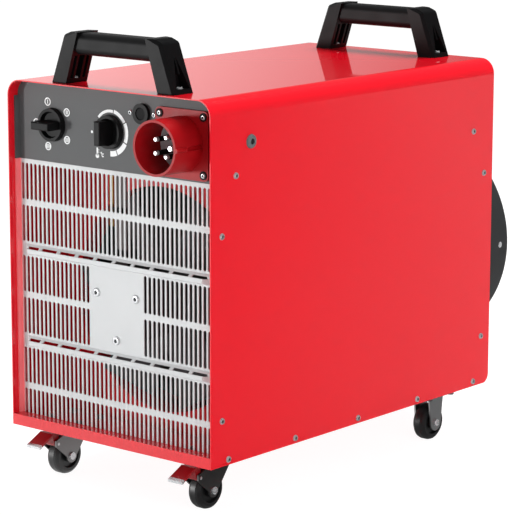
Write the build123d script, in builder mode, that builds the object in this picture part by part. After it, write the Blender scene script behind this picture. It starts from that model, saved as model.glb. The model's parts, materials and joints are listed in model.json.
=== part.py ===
from build123d import *
import os
from math import cos, radians, sin

os.makedirs("parts", exist_ok=True)

# Portable electric forced air heater. Millimetres, +Z up.
# The control panel and the intake grille face -Y, the warm air outlet faces +Y.

# ---- overall sizes -----------------------------------------------------------------
duct_r = 157.5           # outside of the outlet collar: 315 mm duct
drum_z = 189.6           # outlet axis above the base
side_room = 17.5         # collar to each outer side of the shell
depth = 604.0            # front edge of the shell to its rear edge, along Y
panel_zone = 105.5       # control panel's height up to the shell's top
caster_height = 68.5     # floor to the underside of the base pan
inlet_reach = 37.5       # mains inlet mouth in front of the shell's front edge
collar_reach = 68.0      # outlet collar behind the shell's rear edge

# ---- sheet metal -------------------------------------------------------------------
sheet = 1.5              # folded steel sheet
panel_t = 1.2            # panels and pressed grille
fit = 0.1                # play between nested sheets
corner_r = 21.0          # outside bend of the shell's upper corners
rear_corner_r = 12.5     # lower rear corner of each shell side
recess = 17.0            # panels behind the shell's front and rear edges
hem_front = 7.0          # hemmed side edge of a panel, in front of its face
hem_back = 9.0           # and behind it
lip_height = 14.6        # upturned edge of the base pan
panel_foot = 3.0         # lower edge of grille and rear panel above the base
tray_room = 10.9         # tray above the collar
split_drop = 0.5         # control panel's lower edge below the tray
tray_flange = 15.0       # upturned edge of the tray
tray_inset = 30.0        # tray flanges behind the front and rear edges

# ---- screws ------------------------------------------------------------------------
screw_head_r = 4.3
screw_head_h = 2.4
screw_r = 2.0
screw_len = 8.0
screw_play = 0.05
edge_screw = 20.8        # side screws behind the front and rear edges
bottom_screw_y = 33.0
bottom_screw_end = 38.2  # last one before the rear edge
bottom_screw_count = 5
bottom_screw_z = 7.3
tray_screw_inset = 47.5
tray_screw_rise = 8.0
lock_screw_r = 9.2       # large flat screw high on each side
lock_screw_h = 3.0
lock_screw_y = 76.7
lock_screw_rise = 48.1   # above the panels' split
grille_screw_z = 59.0
grille_screw_drop = 64.2 # below the split
rear_screw_z = 70.3
rear_screw_drop = 52.7

# ---- intake grille -----------------------------------------------------------------
slot_w = 5.1
slot_pitch = 7.72
grille_border = 3.0      # plain strip beside the outer slots
row_bar = 7.6            # bar between the two rows of one section
bead_zone = 19.2         # plain strip between two sections
section_count = 3
first_row_drop = 5.5     # highest slots below the split
hidden_rows = 20.0       # lowest section's share behind the pan's lip
last_slot_end = 5.5      # lowest slots stop here, above the base
bead_rise = 2.1          # bead above the slots below it
bead_height = 14.5
bead_depth = 7.5         # bead in front of the sheet
bead_slope = 6.2         # height of its upper slope
bead_return = 2.9        # height of its lower return
bead_margin = 13.0       # bead ends before the side edges
bead_runout = 8.0
dash_count = 10
dash_len = 27.5
dash_pitch = 32.75
dash_h = 3.4
pad_slots = 12           # slots left out for the plain motor pad
motor_screw_circle = 39.5
motor_screw_r = 6.0
motor_screw_len = 12.0

# ---- fan ---------------------------------------------------------------------------
fan_z = 176.0            # fan axis above the base
motor_r = 47.0
motor_len = 72.0
motor_bore = 34.0
shaft_r = 5.0
running = 0.05           # radial play of shafts and axles
fan_y = 113.0            # middle of the fan behind the front edge
fan_r = 143.0
fan_clear = 7.0          # blade tip to the opening
hub_r = 38.0
hub_len = 34.0
blade_count = 6
blade_chord = 78.0
blade_t = 2.0
blade_pitch = 24.0
shroud_y = 106.0
shroud_ring = 32.0
strap_w = 17.0
strap_gap = 11.0         # strap behind the grille
clip_heights = (250.0, 305.0)

# ---- heater drum and outlet --------------------------------------------------------
collar_t = 1.5
collar_flange = 11.0
drum_play = 0.3
drum_t = 1.0
drum_start = 150.0       # front end of the drum behind the front edge
drum_tail = 26.0         # drum behind the shell's rear edge
element_w = 12.0         # finned heating tube, over its fins
element_h = 9.0
element_radii = (128.0, 98.0, 68.0)
element_start = 300.0
element_pitch = 60.0
element_leg_x = 14.0
element_leg_r = 4.0
leg_play = 0.2
leg_drop = 6.0           # tube ends below the tray
guard_start = 30.0       # guard's rings behind the rear edge
guard_band = 25.0        # band from the rings to past the screws
guard_bar = 2.4
guard_rings = (0.72, 0.46, 0.2)
collar_screw_y = 50.0    # radial screws behind the rear edge
collar_screw_sink = 0.1  # countersunk heads below the collar's outside
collar_screw_cone = 1.4

# ---- control panel fittings --------------------------------------------------------
selector_side = 66.0     # selector from the other side of the shell
knob_rise = 49.5         # knobs above the split
thermostat_x = -7.4
knob_r = 22.0
knob_front_r = 21.2
knob_skirt = 7.0
knob_height = 25.6
knob_dish_r = 17.5
knob_dish_floor_r = 15.5
knob_dish = 5.0
grip_len = 31.0
grip_t = 10.0
knob_gap = 0.4           # knob in front of the panel
spindle_r = 3.0
spindle_len = 22.0
switch_size = 46.0
switch_depth = 60.0
thermostat_size = 42.0
thermostat_depth = 32.0
bulb_r = 4.0
bulb_len = 70.0
capillary_r = 1.0
capillary_side = 14.0    # capillary left of the thermostat's middle
reset_from_inlet = 68.5  # reset button from the inlet's middle
reset_rise = 77.5
reset_r = 13.0
reset_h = 5.0
reset_bore = 8.0
button_play = 0.2
reset_travel = 2.5
reset_screw_pitch = 40.0
reset_screw_r = 3.4
limiter_size = 30.0
limiter_depth = 34.0

# ---- mains inlet (32 A, five pins) -------------------------------------------------
inlet_side = 58.5        # inlet's middle from the shell's side
inlet_rise = 46.3
inlet_flange = 87.0
inlet_corner = 7.0
inlet_flange_t = 4.0
inlet_screw_pitch = 72.0
inlet_r = 35.0
inlet_wall = 3.2
inlet_floor = 8.0        # insert in front of the panel
insert_depth = 32.0
insert_play = 0.2
pin_circle = 13.6
pin_r = 3.0
earth_pin_r = 4.0
pin_tip = 13.5           # pin tips inside the mouth
pin_hole = 12.0
key_r = 3.0
key_len = 19.5

# ---- electrical parts on the tray --------------------------------------------------
rail_y = 250.0
rail_len = 250.0
rail_w = 35.0
rail_h = 7.5
contactor = (45.0, 80.0, 70.0)
contactor_pitch = 70.0
block = (90.0, 36.0, 38.0)
block_y = 130.0

# ---- handles -----------------------------------------------------------------------
handle_half = 107.0      # outer foot of a leg from the middle
handle_shoulder = (84.0, 62.5)
handle_top = (72.0, 67.0)
handle_inner = 79.0      # inner foot of a leg
handle_neck = 58.0       # inner edge of a leg at its top
handle_round = 7.0
handle_depth = 39.0
handle_inset = 30.0      # handle's middle behind the front edge
handle_chamfer = 4.0     # along the outer edges of the legs
handle_floor = 6.0       # plastic under the screw heads
handle_screws_x = (98.0, 81.6)
grip_h = 28.5            # grip bar, a little lower and narrower than the legs
grip_step = 1.0
grip_setback = 3.0
grip_round = 9.0
pocket_w = 25.0          # triangular pocket in each outer face
pocket_rise = 46.0
pocket_floor = 88.0
pocket_rib = 2.4
groove_floor = 86.2      # upright grooves in each inner face
groove_rise = 36.0
groove_widths = ((-11.0, 5.0), (0.0, 9.6), (11.0, 5.0))

# ---- casters -----------------------------------------------------------------------
wheel_r = 25.5
wheel_w = 20.0
hub_w = 22.4
wheel_hub_r = 9.0
axle_r = 3.0
axle_head_r = 5.0
axle_head = 2.0
fork_t = 2.5
fork_gap = 0.4           # wheel hub to fork leg
caster_plate_t = 2.5
front_caster_side = 49.5 # swivel axis from the shell's side
front_caster_y = 69.3
trail = 23.0
front_plate = (64.0, 56.0)
front_bolts = (51.0, 41.0)
race_r = 17.0
race_h = 5.5
race_gap = 0.3
kingpin_r = 5.0
fork_width_top = 20.0
fork_foot_r = 9.0
rear_caster_side = 31.0
rear_caster_back = 102.0 # axle from the shell's rear edge
rear_plate = (52.0, 66.0)
rear_bolts = (40.0, 50.0)
rear_leg_top = 33.0
rear_leg_foot = 11.5
bolt_r = 3.0
bolt_head_r = 5.0
bolt_head_h = 3.0
bolt_end = 1.5
nut_r = 5.6
nut_h = 4.5
pedal_pivot_y = 48.0     # in front of the swivel axis
pedal_pivot_drop = 21.5  # below the base
pedal_w = 20.8
pedal_pin_r = 2.0
pedal_reach = 81.0       # pedal tip in front of the swivel axis
pedal_crest = (8.0, 6.5) # crest in front of the pin, and below the base
pedal_tip_drop = 20.0
pedal_t = 3.0
paddle_w = 24.0

# ---- derived places ----------------------------------------------------------------
width = 2 * (duct_r + side_room)
tray_rise = drum_z + duct_r + tray_room
panel_split = tray_rise - split_drop
body_height = panel_split + panel_zone
knob_z, reset_z, inlet_z = panel_split + knob_rise, panel_split + reset_rise, panel_split + inlet_rise
inlet_x = width / 2 - inlet_side
selector_x, reset_x = selector_side - width / 2, inlet_x - reset_from_inlet
front_caster_x, rear_caster_x = width / 2 - front_caster_side, width / 2 - rear_caster_side
front_y = -(depth + collar_reach - inlet_reach) / 2
rear_y = front_y + depth
base_z = caster_height
top_z = base_z + body_height
inner_half = width / 2 - sheet
panel_half = inner_half - fit
slot_count = 2 * int((panel_half - grille_border) / slot_pitch)
first_row_top = panel_split - first_row_drop
section_pitch = (first_row_top + hidden_rows) / section_count
row_h = (section_pitch - row_bar - bead_zone) / 2
panel_y = front_y + recess
rear_panel_y = rear_y - recess
tray_z = base_z + tray_rise
fan_axis_z = base_z + fan_z
drum_axis_z = base_z + drum_z
collar_mouth = rear_y + collar_reach
handle_middles = (front_y + handle_inset, rear_y - handle_inset)
fork_half = hub_w / 2 + fork_gap + fork_t
drum_r = duct_r - collar_t - drum_play

bottom_screw_pitch = (depth - bottom_screw_y - bottom_screw_end) / (bottom_screw_count - 1)
bottom_spots = [(front_y + bottom_screw_y + i * bottom_screw_pitch, base_z + bottom_screw_z)
                for i in range(bottom_screw_count)]
grille_spots = [(front_y + edge_screw, base_z + z) for z in (grille_screw_z, panel_split - grille_screw_drop)]
rear_spots = [(rear_y - edge_screw, base_z + z) for z in (rear_screw_z, panel_split - rear_screw_drop)]
tray_spots = [(y, tray_z + tray_screw_rise)
              for y in (front_y + tray_screw_inset, rear_y - tray_screw_inset)]
lock_spot = [(front_y + lock_screw_y, base_z + panel_split + lock_screw_rise)]
middle_up = (Align.CENTER, Align.CENTER, Align.MIN)
middle_down = (Align.CENTER, Align.CENTER, Align.MAX)


def facing(y):
    """Plane across the heater at this Y: local x is X, local y is Z, extrude(-a) goes to the rear."""
    return Plane.XZ.offset(-y)


def on_sides(spots):
    """Locations on both outer side walls, local +Z pointing outwards."""
    return [Location((side * width / 2, y, z), (0, side * 90, 0)) for side in (1, -1) for y, z in spots]


def on_front(y, spots):
    """Locations on a plane across the heater, local +Z pointing to the front."""
    return [Location((x, y, z), (90, 0, 0)) for x, z in spots]


def circle_spots(radius, z, angles, x=0.0):
    return [(x + radius * cos(radians(a)), z + radius * sin(radians(a))) for a in angles]


# ---- folded shell: two sides and the top in one sheet --------------------------------
with BuildPart() as outer_shell:
    with BuildSketch(facing(front_y)) as wrap:
        with Locations((0, base_z)):
            Rectangle(width, body_height, align=(Align.CENTER, Align.MIN))
        fillet(wrap.vertices().group_by(Axis.Y)[-1], corner_r)
    extrude(amount=-depth)
    with BuildSketch(facing(front_y)) as hollow:
        with Locations((0, base_z)):
            Rectangle(2 * inner_half, body_height - sheet, align=(Align.CENTER, Align.MIN))
        fillet(hollow.vertices().group_by(Axis.Y)[-1], corner_r - sheet)
    extrude(amount=-depth, mode=Mode.SUBTRACT)
    feet = outer_shell.edges().filter_by(Axis.X).group_by(Axis.Z)[0]
    fillet(feet.group_by(Axis.Y)[-1], rear_corner_r)
    with Locations(*on_sides(bottom_spots + grille_spots + rear_spots + tray_spots + lock_spot)):
        Cylinder(screw_r + screw_play, 4 * sheet, mode=Mode.SUBTRACT)
    with Locations(*[(side * x, y, top_z) for side in (1, -1) for x in handle_screws_x for y in handle_middles]):
        Cylinder(screw_r + screw_play, 4 * sheet, mode=Mode.SUBTRACT)
outer_shell.part.label = "outer_shell"
export_step(outer_shell.part, "parts/outer_shell.step")

# ---- base pan: a tray whose front lip folds back to the grille -----------------------
caster_bolt_spots = []
for side in (1, -1):
    for cx, cy, (px, py) in ((front_caster_x, front_caster_y, front_bolts),
                             (rear_caster_x, depth - rear_caster_back, rear_bolts)):
        for dx in (-px / 2, px / 2):
            for dy in (-py / 2, py / 2):
                caster_bolt_spots.append((side * cx + dx, front_y + cy + dy, base_z))

with BuildPart() as base_pan:
    with BuildSketch(Plane.XY.offset(base_z)):
        with Locations((0, (front_y + rear_y) / 2)):
            Rectangle(2 * panel_half, depth)
    extrude(amount=lip_height)
    lower = base_pan.edges().filter_by(Axis.X).group_by(Axis.Z)[0]
    fillet(lower.group_by(Axis.Y)[-1], rear_corner_r)
    with BuildSketch(Plane.XY.offset(base_z + lip_height)):
        with Locations((0, (front_y + rear_y) / 2)):
            Rectangle(2 * (panel_half - sheet), depth - 2 * sheet)
    extrude(amount=-(lip_height - sheet), mode=Mode.SUBTRACT)
    with BuildSketch(Plane.XY.offset(base_z + lip_height - sheet)):
        with Locations((0, front_y + recess / 2 - fit), (0, rear_y - recess / 2 + fit)):
            Rectangle(2 * panel_half, recess - 2 * fit)
    extrude(amount=sheet)
    with Locations(*on_sides(bottom_spots)):
        Cylinder(screw_r + screw_play, 8 * sheet, mode=Mode.SUBTRACT)
    with Locations(*caster_bolt_spots):
        Cylinder(bolt_r + screw_play, 8 * sheet, mode=Mode.SUBTRACT)
base_pan.part.label = "base_pan"
export_step(base_pan.part, "parts/base_pan.step")


# ---- sheet panels --------------------------------------------------------------------
def panel_sheet(y, low, high, inward, crown):
    """Flat sheet with hemmed side edges, its outer face on Y; inward is +1 or -1 along Y."""
    with BuildPart() as made:
        with BuildSketch(facing(y)) as face:
            with Locations((0, low)):
                Rectangle(2 * panel_half, high - low, align=(Align.CENTER, Align.MIN))
            if crown:
                fillet(face.vertices().group_by(Axis.Y)[-1], corner_r - sheet - fit)
        extrude(amount=-inward * panel_t)
        hem_top = high - (corner_r if crown else 0)
        hem_low = max(low, base_z + lip_height + fit)
        with BuildSketch(Plane.XY.offset(hem_low)):
            for side in (1, -1):
                with Locations((side * (panel_half - panel_t / 2), y + inward * (hem_back - hem_front) / 2)):
                    Rectangle(panel_t, hem_front + hem_back)
                with Locations((side * (panel_half - 1.5 * panel_t), y - inward * (hem_front - panel_t) / 2)):
                    Rectangle(panel_t, hem_front + panel_t)
        extrude(amount=hem_top - hem_low)
        if low < hem_low:
            with Locations((panel_half, y, low), (-panel_half, y, low)):
                Box(2 * (sheet + fit), 4 * panel_t, 2 * (hem_low - low), mode=Mode.SUBTRACT)
    return made.part


def row_centres():
    """Upper and lower slot row of each of the three sections: (top, bottom) above the base."""
    rows = []
    for section in range(section_count):
        top = first_row_top - section * section_pitch
        second = top - row_h - row_bar
        rows += [(section, top, top - row_h), (section, second, max(second - row_h, last_slot_end))]
    return rows


with BuildPart() as intake_grille:
    add(panel_sheet(panel_y, base_z + panel_foot, base_z + panel_split - fit, 1, False))
    bead_half = panel_half - bead_margin
    for section in (1, 2):
        bead_low = base_z + first_row_top - section * section_pitch + bead_rise
        bead_top = bead_low + bead_height
        front_low, front_top = bead_low + bead_return, bead_top - bead_slope
        for inset, mode in ((0, Mode.ADD), (panel_t, Mode.SUBTRACT)):
            back = panel_y + (0.01 * panel_t if inset == 0 else 2 * panel_t)
            with BuildSketch(facing(back)):
                with Locations((0, (bead_top + bead_low) / 2)):
                    Rectangle(2 * (bead_half - inset), bead_height - 2 * inset)
            with BuildSketch(facing(panel_y - bead_depth + inset)):
                with Locations((0, (front_top + front_low) / 2)):
                    Rectangle(2 * (bead_half - bead_runout - inset), front_top - front_low - inset)
            loft(mode=mode)
        with BuildSketch(facing(panel_y - bead_depth + 0.5 * panel_t)):
            with Locations((0, front_top + dash_h / 2)):
                with GridLocations(dash_pitch, 0, dash_count, 1):
                    Rectangle(dash_len, dash_h)
        extrude(amount=-0.75 * bead_depth, mode=Mode.SUBTRACT)
    side_slots = (slot_count - pad_slots) // 2
    side_middle = (slot_count + pad_slots) / 4 * slot_pitch
    with BuildSketch(facing(panel_y - panel_t)):
        for section, top, bottom in row_centres():
            with Locations((0, base_z + (top + bottom) / 2)):
                if section == 1:
                    with Locations((side_middle, 0), (-side_middle, 0)):
                        with GridLocations(slot_pitch, 0, side_slots, 1):
                            SlotOverall(top - bottom, slot_w, rotation=90)
                else:
                    with GridLocations(slot_pitch, 0, slot_count, 1):
                        SlotOverall(top - bottom, slot_w, rotation=90)
    extrude(amount=-3 * panel_t, mode=Mode.SUBTRACT)
    motor_screw_spots = circle_spots(motor_screw_circle, fan_axis_z, (30, 150, 270))
    with Locations(*on_front(panel_y, motor_screw_spots)):
        Cylinder(screw_r + screw_play, 4 * panel_t, mode=Mode.SUBTRACT)
    with Locations(*on_sides(grille_spots)):
        Cylinder(screw_r + screw_play, 8 * sheet, mode=Mode.SUBTRACT)
intake_grille.part.label = "intake_grille"
export_step(intake_grille.part, "parts/intake_grille.step")

knob_spots = [(selector_x, base_z + knob_z), (thermostat_x, base_z + knob_z)]
reset_spot = (reset_x, base_z + reset_z)
reset_screw_spots = [(reset_x + side * reset_screw_pitch / 2, base_z + reset_z) for side in (1, -1)]
inlet_screw_spots = [(inlet_x + i * inlet_screw_pitch / 2, base_z + inlet_z + k * inlet_screw_pitch / 2)
                     for i in (1, -1) for k in (1, -1)]
insert_r = inlet_r - inlet_wall - insert_play

with BuildPart() as control_panel:
    add(panel_sheet(panel_y, base_z + panel_split, top_z - sheet - fit, 1, True))
    with Locations(*on_front(panel_y, knob_spots)):
        Cylinder(spindle_r + 1, 4 * panel_t, mode=Mode.SUBTRACT)
    with Locations(*on_front(panel_y, [reset_spot])):
        Cylinder(reset_bore, 4 * panel_t, mode=Mode.SUBTRACT)
    with Locations(*on_front(panel_y, [(inlet_x, base_z + inlet_z)])):
        Cylinder(insert_r + insert_play, 4 * panel_t, mode=Mode.SUBTRACT)
    with Locations(*on_front(panel_y, reset_screw_spots + inlet_screw_spots)):
        Cylinder(screw_r + screw_play, 4 * panel_t, mode=Mode.SUBTRACT)
control_panel.part.label = "control_panel"
export_step(control_panel.part, "parts/control_panel.step")

with BuildPart() as rear_panel:
    add(panel_sheet(rear_panel_y, base_z + panel_foot, top_z - sheet - fit, -1, True))
    with Locations(*on_front(rear_panel_y, [(0, drum_axis_z)])):
        Cylinder(drum_r + drum_play, 4 * panel_t, mode=Mode.SUBTRACT)
    with Locations(*on_sides(rear_spots)):
        Cylinder(screw_r + screw_play, 8 * sheet, mode=Mode.SUBTRACT)
rear_panel.part.label = "rear_panel"
export_step(rear_panel.part, "parts/rear_panel.step")

with BuildPart() as electrics_tray:
    tray_front, tray_rear = panel_y + panel_t + drum_play, rear_panel_y - panel_t - drum_play
    flange_len = depth - 2 * tray_inset
    with BuildSketch(Plane.XY.offset(tray_z)):
        with Locations((0, (tray_front + tray_rear) / 2)):
            Rectangle(2 * (panel_half - 2.5 * panel_t), tray_rear - tray_front)
        with Locations((0, (front_y + rear_y) / 2)):
            Rectangle(2 * panel_half, flange_len)
    extrude(amount=sheet)
    with BuildSketch(Plane.XY.offset(tray_z)):
        for side in (1, -1):
            with Locations((side * (panel_half - sheet / 2), (front_y + rear_y) / 2)):
                Rectangle(sheet, flange_len)
    extrude(amount=tray_flange)
    with Locations(*on_sides(tray_spots)):
        Cylinder(screw_r + screw_play, 8 * sheet, mode=Mode.SUBTRACT)
    with Locations((thermostat_x - capillary_side, panel_y + panel_t + thermostat_depth / 2, tray_z)):
        Cylinder(capillary_r + 1, 4 * sheet, mode=Mode.SUBTRACT)
electrics_tray.part.label = "electrics_tray"
export_step(electrics_tray.part, "parts/electrics_tray.step")

# ---- screws of the housing -----------------------------------------------------------
with BuildPart() as shell_screws:
    with Locations(*on_sides(bottom_spots + grille_spots + rear_spots + tray_spots)):
        Cylinder(screw_head_r, screw_head_h, align=middle_up)
        Cylinder(screw_r, screw_len, align=middle_down)
shell_screws.part.label = "shell_screws"
export_step(shell_screws.part, "parts/shell_screws.step")

with BuildPart() as lock_screws:
    with Locations(*on_sides(lock_spot)):
        Cylinder(lock_screw_r, lock_screw_h, align=middle_up)
        Cylinder(screw_r, screw_len, align=middle_down)
lock_screws.part.label = "lock_screws"
export_step(lock_screws.part, "parts/lock_screws.step")

with BuildPart() as motor_screws:
    with Locations(*on_front(panel_y, motor_screw_spots)):
        Cylinder(motor_screw_r, screw_head_h, align=middle_up)
        Cylinder(screw_r, motor_screw_len, align=middle_down)
motor_screws.part.label = "motor_screws"
export_step(motor_screws.part, "parts/motor_screws.step")

# ---- handles -------------------------------------------------------------------------
def handle(middle):
    """Grip bar between two leaning legs, with a pocket outside and grooves inside each leg."""
    with BuildPart() as made:
        for side in (1, -1):
            with BuildSketch(facing(middle - handle_depth / 2)) as outline:
                with BuildLine():
                    Polyline((side * handle_half, top_z), (side * handle_shoulder[0], top_z + handle_shoulder[1]),
                             (side * handle_top[0], top_z + handle_top[1]),
                             (side * handle_neck, top_z + handle_top[1]), (side * handle_inner, top_z), close=True)
                make_face()
                fillet(outline.vertices().group_by(Axis.Y)[1], handle_round)
            extrude(amount=-handle_depth)
        leaning = made.edges().filter_by(GeomType.LINE).filter_by(lambda e: abs(e.tangent_at(0.5).Y) < 0.01)
        outer = [e for e in leaning if abs(e.tangent_at(0.5).Z) > 0.5 and abs(e.center().X) > handle_shoulder[0]]
        chamfer(outer, handle_chamfer)
        with BuildSketch(Plane.YZ.offset(-handle_neck - 6)):
            with Locations((middle, top_z + handle_top[1] - grip_step - grip_h / 2)):
                RectangleRounded(handle_depth - 2 * grip_setback, grip_h, grip_round)
        extrude(amount=2 * (handle_neck + 6))
        for side in (1, -1):
            with BuildSketch(Plane.YZ.offset(side * pocket_floor)):
                with BuildLine():
                    Polyline((middle - pocket_w / 2, top_z + handle_floor), (middle + pocket_w / 2, top_z + handle_floor),
                             (middle + pocket_rib / 2, top_z + pocket_rise),
                             (middle - pocket_rib / 2, top_z + pocket_rise), close=True)
                make_face()
                with BuildLine():
                    Polyline((middle - pocket_rib / 2, top_z + 4 * handle_floor),
                             (middle + pocket_rib / 2, top_z + 4 * handle_floor),
                             (middle + pocket_rib / 2, top_z + 2 * pocket_rise),
                             (middle - pocket_rib / 2, top_z + 2 * pocket_rise), close=True)
                make_face(mode=Mode.SUBTRACT)
            extrude(amount=side * handle_half, mode=Mode.SUBTRACT)
            for off, wide in groove_widths:
                with BuildSketch(Plane.YZ.offset(side * groove_floor)):
                    with Locations((middle + off, top_z + handle_floor)):
                        Rectangle(wide, groove_rise - handle_floor, align=(Align.CENTER, Align.MIN))
                extrude(amount=-side * (groove_floor - handle_neck), mode=Mode.SUBTRACT)
            with Locations(*[(side * x, middle, top_z) for x in handle_screws_x]):
                Cylinder(screw_r + screw_play, 4 * handle_floor, mode=Mode.SUBTRACT)
    return made.part


def handle_screw_set():
    with BuildPart() as made:
        spots = [(side * x, y, top_z + handle_floor) for side in (1, -1) for x in handle_screws_x
                 for y in handle_middles]
        with Locations(*spots):
            Cylinder(screw_head_r, screw_head_h, align=middle_up)
            Cylinder(screw_r, handle_floor + screw_len, align=middle_down)
    return made.part


for name, middle in (("front_handle", handle_middles[0]), ("rear_handle", handle_middles[1])):
    piece = handle(middle)
    piece.label = name
    export_step(piece, f"parts/{name}.step")
piece = handle_screw_set()
piece.label = "handle_screws"
export_step(piece, "parts/handle_screws.step")

# ---- fan motor behind the pad, its cable strap, and the shroud -------------------------
motor_face = panel_y + panel_t
with BuildPart() as fan_motor:
    with BuildSketch(facing(motor_face)):
        with Locations((0, fan_axis_z)):
            Circle(motor_r)
    extrude(amount=-motor_len)
    chamfer(fan_motor.edges().group_by(Axis.Y)[-1], 6)
    with Locations(*on_front(motor_face, motor_screw_spots)):
        Cylinder(screw_r + screw_play, 2 * motor_screw_len, mode=Mode.SUBTRACT)
    with Locations(*on_front(motor_face + motor_len, [(0, fan_axis_z)])):
        Cylinder(shaft_r + running, 2 * motor_bore, mode=Mode.SUBTRACT)
fan_motor.part.label = "fan_motor"
export_step(fan_motor.part, "parts/fan_motor.step")

strap_y = panel_y + strap_gap
strap_low = fan_axis_z + motor_r + fit
with BuildPart() as motor_strap:
    with BuildSketch(facing(strap_y)):
        with Locations((0, strap_low)):
            Rectangle(strap_w, tray_z - fit - strap_low, align=(Align.CENTER, Align.MIN))
    extrude(amount=-sheet)
    for low in (strap_low, tray_z - fit - sheet):
        with BuildSketch(Plane.XY.offset(low)):
            with Locations((0, strap_y)):
                Rectangle(strap_w, strap_w, align=(Align.CENTER, Align.MIN))
        extrude(amount=sheet)
motor_strap.part.label = "motor_strap"
export_step(motor_strap.part, "parts/motor_strap.step")

with BuildPart() as strap_clips:
    with Locations(*[(0, strap_y - fit, base_z + z) for z in clip_heights]):
        Box(strap_w + 4, 4, 8, align=(Align.CENTER, Align.MAX, Align.CENTER))
strap_clips.part.label = "strap_clips"
export_step(strap_clips.part, "parts/strap_clips.step")

shroud_front = front_y + shroud_y
opening_r = fan_r + fan_clear
with BuildPart() as fan_shroud:
    low = base_z + sheet + fit
    with BuildSketch(facing(shroud_front)):
        with Locations((0, low)):
            Rectangle(2 * (panel_half - 1.5 * sheet), tray_z - fit - low, align=(Align.CENTER, Align.MIN))
        with Locations((0, fan_axis_z)):
            Circle(opening_r, mode=Mode.SUBTRACT)
    extrude(amount=-sheet)
    with BuildSketch(facing(shroud_front)):
        with Locations((0, fan_axis_z)):
            Circle(opening_r + sheet)
            Circle(opening_r, mode=Mode.SUBTRACT)
    extrude(amount=-shroud_ring)
    with BuildSketch(Plane.XY.offset(low)):
        with Locations((0, shroud_front)):
            Rectangle(2 * (panel_half - 1.5 * sheet), strap_w, align=(Align.CENTER, Align.MIN))
    extrude(amount=sheet)
fan_shroud.part.label = "fan_shroud"
export_step(fan_shroud.part, "parts/fan_shroud.step")

# ---- axial fan: hub and pitched sheet blades ------------------------------------------
fan_middle = front_y + fan_y
with BuildPart() as fan_impeller:
    with BuildSketch(facing(fan_middle - hub_len / 2)):
        with Locations((0, fan_axis_z)):
            Circle(hub_r)
    extrude(amount=-hub_len)
    with BuildSketch(facing(fan_middle - hub_len / 2)):
        with Locations((0, fan_axis_z)):
            Circle(hub_r - 3)
            Circle(shaft_r + 5, mode=Mode.SUBTRACT)
    extrude(amount=-(hub_len - 4), mode=Mode.SUBTRACT)
    for i in range(blade_count):
        turn, lean = radians(i * 360 / blade_count), radians(blade_pitch)
        spoke = Plane(origin=(0, fan_middle, fan_axis_z), z_dir=(cos(turn), 0, sin(turn)),
                      x_dir=(-sin(turn) * cos(lean), sin(lean), cos(turn) * cos(lean)))
        with BuildSketch(spoke.offset(hub_r - 1.5)):
            Rectangle(blade_chord * 0.55, blade_t)
        with BuildSketch(spoke.offset(fan_r * 0.985)):
            Rectangle(blade_chord, blade_t)
        loft()
    with Locations(*on_front(fan_middle, [(0, fan_axis_z)])):
        Cylinder(shaft_r + 0.02, 2 * hub_len, mode=Mode.SUBTRACT)
fan_impeller.part.label = "fan_impeller"
export_step(fan_impeller.part, "parts/fan_impeller.step")

with BuildPart() as fan_shaft:
    shaft_start = motor_face + motor_len - motor_bore + 1
    with BuildSketch(facing(shaft_start)):
        with Locations((0, fan_axis_z)):
            Circle(shaft_r)
    extrude(amount=-(fan_middle + hub_len / 2 + 2 - shaft_start))
fan_shaft.part.label = "fan_shaft"
export_step(fan_shaft.part, "parts/fan_shaft.step")

# ---- heater drum with its heating tubes -------------------------------------------------
legs = [(side * element_leg_x, front_y + element_start + i * element_pitch) for side in (1, -1) for i in range(3)]
with BuildPart() as heater_drum:
    with BuildSketch(facing(front_y + drum_start)):
        with Locations((0, drum_axis_z)):
            Circle(drum_r)
            Circle(drum_r - drum_t, mode=Mode.SUBTRACT)
    extrude(amount=-(depth + drum_tail - drum_start))
    with Locations(*[(x, y, drum_axis_z + drum_r) for x, y in legs]):
        Cylinder(element_leg_r + leg_play, 30, mode=Mode.SUBTRACT)
heater_drum.part.label = "heater_drum"
export_step(heater_drum.part, "parts/heater_drum.step")

with BuildPart() as heating_elements:
    for i, radius in enumerate(element_radii):
        middle = front_y + element_start + i * element_pitch
        with BuildSketch(facing(middle - element_w / 2)):
            with Locations((0, drum_axis_z)):
                Circle(radius + element_h / 2)
                Circle(radius - element_h / 2, mode=Mode.SUBTRACT)
                Rectangle(2 * (element_leg_x - element_h / 2), 2 * radius, align=(Align.CENTER, Align.MIN),
                          mode=Mode.SUBTRACT)
        extrude(amount=-element_w)
        start = drum_axis_z + (radius ** 2 - element_leg_x ** 2) ** 0.5 - element_h / 4
        with Locations((element_leg_x, middle, start), (-element_leg_x, middle, start)):
            Cylinder(element_leg_r, tray_z - leg_drop - start, align=middle_up)
heating_elements.part.label = "heating_elements"
export_step(heating_elements.part, "parts/heating_elements.step")

# ---- outlet collar and guard --------------------------------------------------------------
head_r = duct_r - collar_screw_sink
collar_screws_at = [Location((cos(radians(a)) * head_r, rear_y + collar_screw_y, drum_axis_z + sin(radians(a)) * head_r),
                             (0, 90 - a, 0)) for a in (0, 90, 180, 270)]
with BuildPart() as outlet_collar:
    with BuildSketch(facing(rear_panel_y)):
        with Locations((0, drum_axis_z)):
            Circle(duct_r)
            Circle(duct_r - collar_t, mode=Mode.SUBTRACT)
    extrude(amount=-(collar_mouth - rear_panel_y))
    with BuildSketch(facing(rear_panel_y)):
        with Locations((0, drum_axis_z)):
            Circle(duct_r + collar_flange)
            Circle(duct_r - collar_t, mode=Mode.SUBTRACT)
    extrude(amount=-collar_t)
    with Locations(*collar_screws_at):
        Cylinder(screw_r + screw_play, 8 * collar_t, mode=Mode.SUBTRACT)
        Cylinder(screw_head_r + screw_play, collar_t, align=middle_up, mode=Mode.SUBTRACT)
        Cone(screw_r + screw_play, screw_head_r + screw_play, collar_screw_cone, align=middle_down, mode=Mode.SUBTRACT)
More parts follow.
